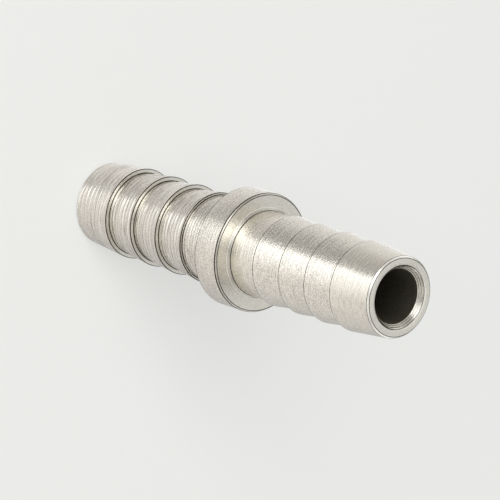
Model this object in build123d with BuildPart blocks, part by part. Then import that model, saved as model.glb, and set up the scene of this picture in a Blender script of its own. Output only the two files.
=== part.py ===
from build123d import *
import os

# Double-ended hose barb, turned from one length of stainless bar.
#
# Two barbed tails, one each way from a plain collar that stops the hoses, with a bore right through.
# It stands on the end face of its lower tail: +Z runs up the bore, and the origin is the centre of
# that end face. Millimetres.

# Bore, drilled right through, and the 45 degree countersink at each mouth
bore_diameter = 6.0
mouth_depth = 0.6

# Tails: each barb is a cone that widens away from its end face, then drops square to the root
root_wall = 1.5  # metal between the bore and the root of a barb
barb_height = 0.5  # from the root out to the edge of a barb
barb_pitch = 4.15
barb_count = 4
first_barb_length = 5.7  # from the end face to the edge of the first barb
tip_chamfer = 0.1
barb_chamfer = 0.1

# Plain neck between the last barb and the collar
neck_step = 0.2  # how far the neck stands out from the roots
neck_length = 4.1
neck_corner = 0.3  # 45 degree corner that the tool leaves against the collar

# Collar
collar_height = 1.85  # out from the neck
collar_length = 3.6
collar_chamfer = 0.2

# Radii, from the bore outwards
bore_radius = bore_diameter / 2
root_of_barb = bore_radius + root_wall
edge_of_barb = root_of_barb + barb_height
neck_surface = root_of_barb + neck_step
collar_surface = neck_surface + collar_height

# Heights, from the lower end face up
barb_levels = [first_barb_length + barb * barb_pitch for barb in range(barb_count)]
last_barb = barb_levels[-1]
collar_bottom = last_barb + neck_length
collar_top = collar_bottom + collar_length
middle = collar_bottom + collar_length / 2
full_length = 2 * middle


def barb_corners():
    """The corners of the barbs as radius and height, from the end face up to the neck."""
    corners = [(root_of_barb, 0)]
    for level in barb_levels:
        foot = neck_surface if level == last_barb else root_of_barb
        corners.append((edge_of_barb, level))
        corners.append((foot, level))
    return corners


def circle_at(solid, radius, height, within=0.001):
    """The circular edge of the given radius at the given height."""
    on_level = solid.edges().filter_by_position(Axis.Z, height - within, height + within)
    return on_level.filter_by(lambda edge: abs(edge.radius - radius) < within)


with BuildPart() as hose_barb:
    # Lower tail, solid, from its end face up to the collar
    with BuildSketch(Plane.XZ):
        with BuildLine():
            Polyline(
                (0, 0),
                *barb_corners(),
                (neck_surface, collar_bottom),
                (0, collar_bottom),
                close=True,
            )
        make_face()
    revolve(axis=Axis.Z)

    # Sharp edges broken, so that they don't cut the hose
    chamfer(circle_at(hose_barb, root_of_barb, 0), tip_chamfer)
    for level in barb_levels:
        chamfer(circle_at(hose_barb, edge_of_barb, level), barb_chamfer)

    # Upper tail, the mirror image, and the collar between the two
    mirror(about=Plane.XY.offset(middle))
    with Locations((0, 0, middle)):
        Cylinder(collar_surface, collar_length)

    # The corner where each neck meets the collar, and the collar's edges broken
    for collar_face in (collar_bottom, collar_top):
        chamfer(circle_at(hose_barb, neck_surface, collar_face), neck_corner)
        chamfer(circle_at(hose_barb, collar_surface, collar_face), collar_chamfer)

    # Bore, with a countersunk mouth at each end
    with Locations((0, 0, middle)):
        Hole(bore_radius, depth=full_length)
    for end_face in (0, full_length):
        chamfer(circle_at(hose_barb, bore_radius, end_face), mouth_depth)

hose_barb.part.label = "hose_barb"

os.makedirs("parts", exist_ok=True)
export_step(hose_barb.part, "parts/hose_barb.step")
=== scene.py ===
import math
import random

import bpy
from mathutils import Matrix, Vector


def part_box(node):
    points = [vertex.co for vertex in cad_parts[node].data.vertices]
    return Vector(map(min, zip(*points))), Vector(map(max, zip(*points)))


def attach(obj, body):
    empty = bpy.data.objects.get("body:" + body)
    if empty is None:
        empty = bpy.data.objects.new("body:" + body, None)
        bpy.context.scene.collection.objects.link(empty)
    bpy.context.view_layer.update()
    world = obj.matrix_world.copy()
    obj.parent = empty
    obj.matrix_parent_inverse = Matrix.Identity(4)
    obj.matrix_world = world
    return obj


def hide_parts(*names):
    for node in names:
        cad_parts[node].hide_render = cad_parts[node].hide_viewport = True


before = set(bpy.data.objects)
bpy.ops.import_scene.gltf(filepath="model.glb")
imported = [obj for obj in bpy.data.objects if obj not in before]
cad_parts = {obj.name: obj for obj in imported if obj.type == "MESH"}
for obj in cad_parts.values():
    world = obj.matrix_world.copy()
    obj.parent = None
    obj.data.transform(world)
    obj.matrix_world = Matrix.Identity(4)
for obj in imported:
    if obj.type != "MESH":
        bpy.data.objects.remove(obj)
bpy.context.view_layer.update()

# ---------------------------------------------------------------------------------------------------
# Hose barb. One length of stainless steel bar, turned on a lathe and drilled right through, with a
# barbed tail each way from a plain collar that stops the hoses. The lower tail keeps the marks of a
# coarse feed and the rest is turned finer. It stands free on the end face of its lower tail.
# ---------------------------------------------------------------------------------------------------

# Its sizes, in millimetres: the radii of its surfaces, and lengths and depths from them.
MM = 0.001
lowest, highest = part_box("hose_barb")
full_length = (highest.z - lowest.z) / MM
collar_surface = (highest.x - lowest.x) / 2 / MM
middle = full_length / 2

bore_surface = 3.0
mouth_depth = 0.6
mouth_width = 0.5
mouth_lip_depth = 0.05
mouth_lip_width = 0.28
barb_root = 4.5
barb_edge = 5.0
neck_surface = 4.7
first_barb_length = 5.7
barb_pitch = 4.15
barb_count = 4
collar_length = 3.6
neck_corner = 0.3
collar_chamfer = 0.2
tip_chamfer = 0.22

# Finishes, in the order of their materials below. The thin dark edge line, the dull grey of the corners,
# the dark grey of the bore, the countersink's darker grey and the collar's duller tone are painted shade,
# and the neck's lighter tone is painted light.
FINE, GRAINED, NECK, COLLAR, COARSE, FACED, EDGE_PAINTED_SHADE, CORNER_PAINTED_SHADE, COUNTERSUNK, DRILLED_PAINTED_SHADE = range(10)

# The outline is turned like the real one: corners with a small rounding, and between them stretches
# that the tool has passed over, which may keep a shallow scallop at each feed. How deep each scallop
# is comes by chance, from a fixed seed.
steps_around = 144
steps_in_corner = 5
places_in_scallop = (0, 0.2, 0.5, 0.8)
shallowest_scallop = 0.3
uneven = random.Random(11)


# A rounding takes the thin dark edge line of painted shade unless it is given another finish.
def corner(radius, height, rounding=0.0, finish=EDGE_PAINTED_SHADE):
    """Where two passes of the tool meet, and the finish of the rounding there."""
    return {"at": Vector((radius, height)), "rounding": rounding, "finish": finish}


def stretch(finish, feed=0.0, depth=0.0, ridge=None):
    """One pass of the tool. Its scallops have a finish, and the ridges between them may have another."""
    return {"finish": finish, "feed": feed, "depth": depth, "ridge": finish if ridge is None else ridge}


def rounded(before, here, after):
    """The points of the arc that rounds a corner off, or the bare corner."""
    if not here["rounding"]:
        return [here["at"]]
    back = (before["at"] - here["at"]).normalized()
    ahead = (after["at"] - here["at"]).normalized()
    half_angle = back.angle(ahead) / 2
    reach = here["rounding"] / math.tan(half_angle)
    centre = here["at"] + (back + ahead).normalized() * here["rounding"] / math.sin(half_angle)
    first = here["at"] + back * reach - centre
    last = here["at"] + ahead * reach - centre
    turn = first.angle_signed(last)
    steps = range(steps_in_corner + 1)
    return [centre + Matrix.Rotation(-turn * step / steps_in_corner, 2) @ first for step in steps]


def scalloped(start, end, tool):
    """The points between two ends: a shallow parabola at each feed of the tool."""
    along = end - start
    count = max(1, round(along.length / tool["feed"]))
    inward = Vector((-along.y, along.x)).normalized()
    points = []
    for mark in range(count):
        deepest = tool["depth"] * uneven.uniform(shallowest_scallop, 1)
        for share in places_in_scallop:
            sunk = deepest * (1 - (2 * share - 1) ** 2)
            point = start + along * (mark + share) / count + inward * sunk
            points.append((point, tool["finish" if share else "ridge"]))
    return points[1:]  # the start is the end of the corner before


def tail(nose, barbs, neck, barb_rounding):
    """Half of the outline: one tail from its mouth to its neck, and on to the middle of the collar."""
    path = [
        corner(bore_surface, mouth_depth),
        # The ridges of the countersink take the dull grey of painted shade.
        stretch(COUNTERSUNK, feed=0.24, depth=0.04, ridge=CORNER_PAINTED_SHADE),
        corner(bore_surface + mouth_width, mouth_lip_depth, rounding=0.1),
        stretch(FACED),
        corner(bore_surface + mouth_width + mouth_lip_width, 0, rounding=0.3, finish=FACED),
        stretch(FACED, feed=0.2, depth=0.008),
        corner(barb_root - tip_chamfer, 0, rounding=0.1),
        stretch(FACED),
        corner(barb_root, tip_chamfer, rounding=0.08),
        nose,
    ]
    for barb in range(barb_count):
        level = first_barb_length + barb * barb_pitch
        last = barb == barb_count - 1
        path += [
            corner(barb_edge, level, rounding=barb_rounding),
            stretch(FACED),
            corner(neck_surface if last else barb_root, level, rounding=0.08),
            neck if last else barbs,
        ]
    collar_face = middle - collar_length / 2
    path += [
        corner(neck_surface, collar_face - neck_corner, rounding=0.14),
        # The inner corner at the neck takes the dull grey of painted shade, and so does the collar's
        # chamfer.
        stretch(CORNER_PAINTED_SHADE),
        corner(neck_surface + neck_corner, collar_face, rounding=0.12, finish=FACED),
        stretch(FACED, feed=0.25, depth=0.012),
        corner(collar_surface - collar_chamfer, collar_face, rounding=0.11),
        stretch(CORNER_PAINTED_SHADE),
        corner(collar_surface, collar_face + collar_chamfer, rounding=0.18),
        stretch(COLLAR),
        corner(collar_surface, middle),
    ]
    return path


def outline(path):
    """The path's points, from corner to corner, each with the finish that starts there."""
    corners, stretches = path[0::2], path[1::2]
    points = []
    for at, here in enumerate(corners):
        arc = rounded(corners[at - 1], here, corners[(at + 1) % len(corners)])
        if at and stretches[at - 1]["feed"]:
            points += scalloped(points[-1][0], arc[0], stretches[at - 1])
        points += [(point, here["finish"]) for point in arc]
        if at < len(stretches):
            points[-1] = (points[-1][0], stretches[at]["finish"])
    return points


# The real feeds are 0.1 to 0.2 mm and their scallops are too fine to show, so they are drawn about
# three times as wide, and deeper.
lower = outline(tail(
    nose=stretch(COARSE, feed=0.64, depth=0.08),
    barbs=stretch(COARSE, feed=0.58, depth=0.08),
    neck=stretch(COLLAR, feed=0.42, depth=0.05),
    barb_rounding=0.08,
))
upper = outline(tail(
    nose=stretch(FINE, feed=0.38, depth=0.004),
    barbs=stretch(GRAINED, feed=0.38, depth=0.012),
    neck=stretch(NECK, feed=0.38, depth=0.012),
    barb_rounding=0.16,
))

# The upper half is the lower one upside down, so its points run backwards from the collar to the bore,
# and each takes the finish that started at the point it comes to next.
upper.reverse()
# The bore takes the dark grey of painted shade.
finishes_backwards = [finish for _, finish in upper[1:]] + [DRILLED_PAINTED_SHADE]
profile = lower[:-1]
for (point, _), finish in zip(upper, finishes_backwards):
    profile.append((Vector((point.x, full_length - point.y)), finish))
rings = len(profile)

vertices = []
for point, _ in profile:
    radius, height = point.x * MM, point.y * MM
    for step in range(steps_around):
        azimuth = math.tau * step / steps_around
        vertices.append((radius * math.cos(azimuth), radius * math.sin(azimuth), height))
faces = []
for ring in range(rings):
    this_ring = ring * steps_around
    next_ring = (ring + 1) % rings * steps_around
    for step in range(steps_around):
        next_step = (step + 1) % steps_around
        faces.append((this_ring + step, this_ring + next_step, next_ring + next_step, next_ring + step))
mesh = bpy.data.meshes.new("turned_hose_barb")
mesh.from_pydata(vertices, [], faces)
for ring, (_, finish) in enumerate(profile):
    for step in range(steps_around):
        mesh.polygons[ring * steps_around + step].material_index = finish
mesh.shade_smooth()
hose_barb = bpy.data.objects.new("turned_hose_barb", mesh)
bpy.context.scene.collection.objects.link(hose_barb)

# Large flat faces keep a straight normal, so that only the roundings beside them shade round.
flat_faces = hose_barb.modifiers.new("flat_faces_stay_flat", "WEIGHTED_NORMAL")
flat_faces.weight = 60

# Sockets of Blender's Mix node when it mixes colours.
COLOUR_A, COLOUR_B, MIXED_COLOUR = 6, 7, 2


def linear(colour):
    """A colour written as sRGB hex, as the linear values that Blender wants."""
    shares = [int(colour[at:at + 2], 16) / 255 for at in (1, 3, 5)]
    return [s / 12.92 if s <= 0.04045 else ((s + 0.055) / 1.055) ** 2.4 for s in shares] + [1]


def add(tree, kind, values=None, links=None, **settings):
    """A node with its settings, the values of its sockets and what is linked to them."""
    node = tree.nodes.new("ShaderNode" + kind)
    for name, value in settings.items():
        setattr(node, name, value)
    for socket, value in (values or {}).items():
        node.inputs[socket].default_value = value
    for socket, source in (links or {}).items():
        tree.links.new(source, node.inputs[socket])
    return node


def steel(name, colour, hollows, roughness, anisotropy, line_depth, grain_depth, line_spacing=0.16,
          line_length=2.2, grain_size=0.12, streaks=0.4):
    """Bare stainless steel that a tool has cut: fine lines round the part, and a grain in them.

    It is a warm grey metal, darker in the hollows of its lines and grain, partly its own tone and partly
    painted shade, and its gloss is drawn out across the lines. All lengths are millimetres. The real
    lines are 0.05 to 0.1 mm apart and a few thousandths deep, too fine to show, so they are drawn about
    two to three times as coarse.
    """
    material = bpy.data.materials.new(name)
    material.use_nodes = True
    tree = material.node_tree
    tree.nodes.clear()
    place = add(tree, "TexCoord").outputs["Object"]
    round_the_part, along_it = 1 / (line_length * MM), 1 / (line_spacing * MM)
    stretched = add(
        tree, "Mapping",
        {"Scale": (round_the_part, round_the_part, along_it)},
        {"Vector": place},
    )
    lines = add(
        tree, "TexNoise",
        {"Scale": 1, "Detail": 2, "Roughness": 0.6},
        {"Vector": stretched.outputs[0]},
    )
    grains = add(tree, "TexNoise", {"Scale": 1 / (grain_size * MM), "Detail": 1}, {"Vector": place})

    line_height = add(tree, "Math", {1: line_depth * MM}, {0: lines.outputs[0]}, operation="MULTIPLY")
    height = add(
        tree, "Math",
        {1: grain_depth * MM},
        {0: grains.outputs[0], 2: line_height.outputs[0]},
        operation="MULTIPLY_ADD",
    )
    bump = add(tree, "Bump", {"Strength": 1, "Distance": 1}, {"Height": height.outputs[0]})

    # The tint: darker towards the hollows of the lines and grain, partly the steel's own tone and partly
    # painted shade.
    both = add(
        tree, "Math",
        {1: streaks},
        {0: lines.outputs[0], 2: grains.outputs[0]},
        operation="MULTIPLY_ADD",
    )
    middle_of_both = 0.5 + 0.5 * streaks
    hollow, crest = middle_of_both - 0.2, middle_of_both + 0.15
    out_of_hollows = add(
        tree, "MapRange",
        {"From Min": hollow, "From Max": crest},
        {"Value": both.outputs[0]},
    )
    tint = add(
        tree, "Mix",
        {COLOUR_A: linear(hollows), COLOUR_B: linear(colour)},
        {0: out_of_hollows.outputs[0]},
        data_type="RGBA",
    )
    round_the_axis = add(tree, "Tangent", direction_type="RADIAL", axis="Z").outputs[0]
    shader = add(
        tree, "BsdfPrincipled",
        {"Metallic": 1, "Roughness": roughness, "Anisotropic": anisotropy, "Anisotropic Rotation": 0.25},
        {"Base Color": tint.outputs[MIXED_COLOUR], "Normal": bump.outputs[0], "Tangent": round_the_axis},
    )
    add(tree, "OutputMaterial", links={"Surface": shader.outputs[0]})
    mesh.materials.append(material)


# Turned with a fine feed: the smoothest stretch, with the clearest highlight.
steel("stainless_fine_turned", "#E0DACE", "#D0CABE", roughness=0.15, anisotropy=0.5,
      line_depth=0.05, grain_depth=0.01)
# Turned with a fine feed and a worn tool: bright, with darker flecks in the hollows of its grain, partly its
# own tone and partly painted shade.
steel("stainless_grained", "#ECE6DA", "#B8B2A8", roughness=0.14, anisotropy=0.5,
      line_depth=0.04, grain_depth=0.015)
# The same tool on the neck, painted lighter: painted light, for the brighter reflection along the upper
# neck.
steel("stainless_neck_painted_light", "#F0EADE", "#C6C0B6", roughness=0.16, anisotropy=0.5,
      line_depth=0.04, grain_depth=0.015)
# The same tool on the collar and the lower neck, painted a little darker: painted shade, for the dimmer
# reflection there.
steel("stainless_collar_painted_shade", "#E6E0D4", "#B8B2A8", roughness=0.16, anisotropy=0.5,
      line_depth=0.05, grain_depth=0.02)
# Turned with a coarse feed: long lines that break the highlight into streaks.
steel("stainless_coarse_turned", "#E2DCD1", "#C8C2B8", roughness=0.16, anisotropy=0.4,
      line_depth=0.1, grain_depth=0.012, line_spacing=0.26, line_length=4, streaks=1)
# Faced across the ends, the collar and the steps of the barbs: satin, nearly even.
steel("stainless_faced", "#DDDAD1", "#CAC7BE", roughness=0.28, anisotropy=0.6,
      line_depth=0.0, grain_depth=0.02)
# Edges: a thin dark line of painted shade, standing in for the shade and dark reflections along each rounded
# edge.
steel("stainless_edge_painted_shade", "#45433E", "#282622", roughness=0.3, anisotropy=0.3,
      line_depth=0.0, grain_depth=0.01, grain_size=0.4)
# Painted shade: a dull grey in the inner corners, on the collar's chamfer and on the ridges of the
# countersink, standing in for the shade and dark reflections there.
steel("stainless_corner_painted_shade", "#B5AFA3", "#98938A", roughness=0.3, anisotropy=0.3,
      line_depth=0.0, grain_depth=0.01)
# Countersunk: bright rings where the cutter went round, on a grey darker than the faces' that is painted
# shade inside the mouth.
steel("stainless_countersunk_painted_shade", "#BCB7AC", "#9C978D", roughness=0.13, anisotropy=0.5,
      line_depth=0.0, grain_depth=0.01)
# Drilled: rough, and painted a dark grey: painted shade for the unlit bore, so that it reads as a dark hole.
steel("stainless_drilled_painted_shade", "#857F70", "#6F6A5E", roughness=0.57, anisotropy=0.0,
      line_depth=0.01, grain_depth=0.008)

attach(hose_barb, "root")
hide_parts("hose_barb")

# ---------------------------------------------------------------------------------------------------
# Floor. A matt pale board that keeps the soft shadow of the part. It fades into the backdrop with
# distance, so no horizon shows, and the metal mirrors the studio in its place.
# ---------------------------------------------------------------------------------------------------

floor_reach = 4
floor_corners = [
    (-floor_reach, -floor_reach, 0),
    (floor_reach, -floor_reach, 0),
    (floor_reach, floor_reach, 0),
    (-floor_reach, floor_reach, 0),
]
floor_mesh = bpy.data.meshes.new("floor")
floor_mesh.from_pydata(floor_corners, [], [(0, 1, 2, 3)])
floor = bpy.data.objects.new("floor", floor_mesh)
bpy.context.scene.collection.objects.link(floor)

# Painted board: matt, with no grain to see. Near the part, half of its paleness is a glow for the camera
# alone, so that the part is lit by no more than a plain room, and from there on the glow takes over.
fade_from, fade_to = 0.12, 0.5
glow_near, glow_far = 0.5, 1
painted_board = bpy.data.materials.new("painted_board")
painted_board.use_nodes = True
tree = painted_board.node_tree
tree.nodes.clear()
ray = add(tree, "LightPath").outputs
place = add(tree, "TexCoord").outputs["Object"]
distance = add(tree, "VectorMath", links={0: place}, operation="LENGTH").outputs["Value"]
share_of_glow = add(
    tree, "MapRange",
    {"From Min": fade_from, "From Max": fade_to, "To Min": glow_near, "To Max": glow_far},
    {"Value": distance},
    interpolation_type="SMOOTHSTEP",
)
glow_in_view = add(
    tree, "Math",
    links={0: ray["Is Camera Ray"], 1: share_of_glow.outputs[0]},
    operation="MULTIPLY",
)
matt = add(tree, "BsdfDiffuse", {"Color": linear("#F2F3F0")})
glow = add(tree, "Emission", {"Color": linear("#EAEBE8"), "Strength": 1})
board = add(tree, "MixShader", links={0: glow_in_view.outputs[0], 1: matt.outputs[0], 2: glow.outputs[0]})
clear = add(tree, "BsdfTransparent")
surface = add(tree, "MixShader", links={0: ray["Is Glossy Ray"], 1: board.outputs[0], 2: clear.outputs[0]})
add(tree, "OutputMaterial", links={"Surface": surface.outputs[0]})
floor_mesh.materials.append(painted_board)

# ---------------------------------------------------------------------------------------------------
# Studio. The metal mirrors what stands round it, so the studio is drawn for it: pale walls, darker
# gaps, and softboxes in front and overhead. The camera sees a plain backdrop instead, and the floor is
# lit by a plain pale room and one lamp.
# ---------------------------------------------------------------------------------------------------

room_strength = 0.58
brightest = 3.5
softbox_level = 1.4
softbox_tint = (0.94, 0.97, 1)

# The world isn't sampled as a lamp is, or part of the metal's light would come from the plain room.
world = bpy.data.worlds.new("studio")
bpy.context.scene.world = world
world.use_nodes = True
world.cycles.sampling_method = "NONE"
tree = world.node_tree
tree.nodes.clear()
ray = add(tree, "LightPath").outputs
axes = add(tree, "SeparateXYZ", links={0: add(tree, "TexCoord").outputs["Generated"]}).outputs
towards_camera = add(tree, "Math", {1: -1}, {0: axes["Y"]}, operation="MULTIPLY")
azimuth = add(tree, "Math", links={0: axes["X"], 1: towards_camera.outputs[0]}, operation="ARCTAN2")
turn = add(tree, "Math", {1: 1 / math.tau, 2: 0.5}, {0: azimuth.outputs[0]}, operation="MULTIPLY_ADD")


def walls(stops):
    """Brightness by azimuth, in degrees from the camera's side. The brightest stretches are softboxes."""
    ramp = add(tree, "ValToRGB", links={0: turn.outputs[0]})
    elements = ramp.color_ramp.elements
    while len(elements) < len(stops):
        elements.new(0.5)
    # All places come before the colours, because Blender sorts a ramp by its places.
    for element, (degrees, _) in zip(elements, stops):
        element.position = degrees / 360 + 0.5
    for element, (_, level) in zip(elements, stops):
        tint = softbox_tint if level > softbox_level else (1, 1, 1)
        element.color = [share * level / brightest for share in tint] + [1]
    return ramp.outputs[0]


# The tails' lower cones mirror the lowest zone and the upper cones the next, and the other zones show in
# edges, the mouth and the faces. Each takes over from the one below it between two heights, given as the
# sine of the elevation.
mirrored = walls((
    (-180, 1.1), (-168, 1.5), (-145, 1.05), (-100, 0.95), (-38, 0.76), (-18, 0.9), (0, 0.93), (40, 0.92),
    (80, 0.8), (140, 0.66), (180, 0.55),
))
zones = (
    (-0.84, -0.52, (
        (-180, 0.6), (-168, 0.9), (-140, 1.0), (-100, 0.8), (-60, 0.54), (-29, 0.42), (-22, 2.3), (-8, 2.05),
        (4, 1.65), (20, 1.4), (40, 1.15), (80, 1.0), (100, 0.84), (140, 0.64), (180, 0.5),
    )),
    (-0.48, -0.28, (
        (-180, 0.35), (-150, 0.4), (-130, 1.7), (-95, 1.5), (-75, 0.35), (-45, 0.3), (-30, 1.8), (10, 1.6),
        (35, 0.5), (80, 0.3), (100, 1.6), (140, 1.5), (160, 0.35), (180, 0.35),
    )),
    (0.1, 0.5, (
        (-180, 0.84), (-130, 1.0), (-60, 0.95), (-52, 1.0), (-46, 3.4), (-16, 3.2), (0, 1.5), (18, 0.75),
        (40, 1.4), (60, 1.2), (130, 0.66), (180, 0.84),
    )),
    (0.84, 0.95, (
        (-180, 1.35), (180, 1.35),
    )),
)
for start, end, stops in zones:
    higher = add(
        tree, "MapRange",
        {"From Min": start, "From Max": end},
        {"Value": axes["Z"]},
        interpolation_type="SMOOTHSTEP",
    )
    both = add(
        tree, "Mix",
        links={0: higher.outputs[0], COLOUR_A: mirrored, COLOUR_B: walls(stops)},
        data_type="RGBA",
    )
    mirrored = both.outputs[MIXED_COLOUR]

for_metal = add(tree, "Background", {"Strength": brightest}, {"Color": mirrored})
for_floor = add(tree, "Background", {"Color": linear("#FFFFFF"), "Strength": room_strength})
backdrop = add(tree, "Background", {"Color": linear("#EAEBE8"), "Strength": 1})
glossy, in_view = ray["Is Glossy Ray"], ray["Is Camera Ray"]
light = add(tree, "MixShader", links={0: glossy, 1: for_floor.outputs[0], 2: for_metal.outputs[0]})
seen = add(tree, "MixShader", links={0: in_view, 1: light.outputs[0], 2: backdrop.outputs[0]})
add(tree, "OutputWorld", links={"Surface": seen.outputs[0]})

# One lamp for the shadow, high up on the camera's side. The metal mirrors the studio's softboxes instead.
lamp = bpy.data.objects.new("softbox", bpy.data.lights.new("softbox", "AREA"))
lamp.data.shape = "SQUARE"
lamp.data.size = 0.4
lamp.data.energy = 3.1
lamp.location = (-0.12, -0.46, 0.62)
lamp_target = Vector((0, 0, 0.02))
lamp.rotation_euler = (lamp_target - lamp.location).to_track_quat("-Z", "Y").to_euler()
lamp.visible_camera = False
lamp.visible_glossy = False
bpy.context.scene.collection.objects.link(lamp)

# ---------------------------------------------------------------------------------------------------
# Camera. A long lens a metre away looks down on the part and is rolled on its side, so that the part,
# which stands, lies across the picture with its upper mouth towards the viewer.
# ---------------------------------------------------------------------------------------------------

lens = bpy.data.cameras.new("camera")
lens.sensor_width = 36
lens.lens = 671
lens.clip_start = 0.1
lens.clip_end = 4
camera = bpy.data.objects.new("camera", lens)
bpy.context.scene.collection.objects.link(camera)

# Where the camera looks, and where the top of the collar is from it: to its right, above it and ahead.
elevation = math.radians(46.761)
roll = math.radians(107.953)
collar_top = Vector((0, 0, (middle + collar_length / 2) * MM))
to_the_right, above, ahead = Vector((1.27536, -0.31172, 998.152)) * MM

forward = Vector((0, math.cos(elevation), -math.sin(elevation)))
level_right = Vector((1, 0, 0))
level_up = Vector((0, math.sin(elevation), math.cos(elevation)))
camera_right = math.cos(roll) * level_right + math.sin(roll) * level_up
camera_up = -math.sin(roll) * level_right + math.cos(roll) * level_up
stand = collar_top - to_the_right * camera_right - above * camera_up - ahead * forward
turned = Matrix((camera_right, camera_up, -forward)).transposed().to_4x4()
camera.matrix_world = Matrix.Translation(stand) @ turned
bpy.context.scene.camera = camera
bpy.context.scene.view_settings.view_transform = "Standard"
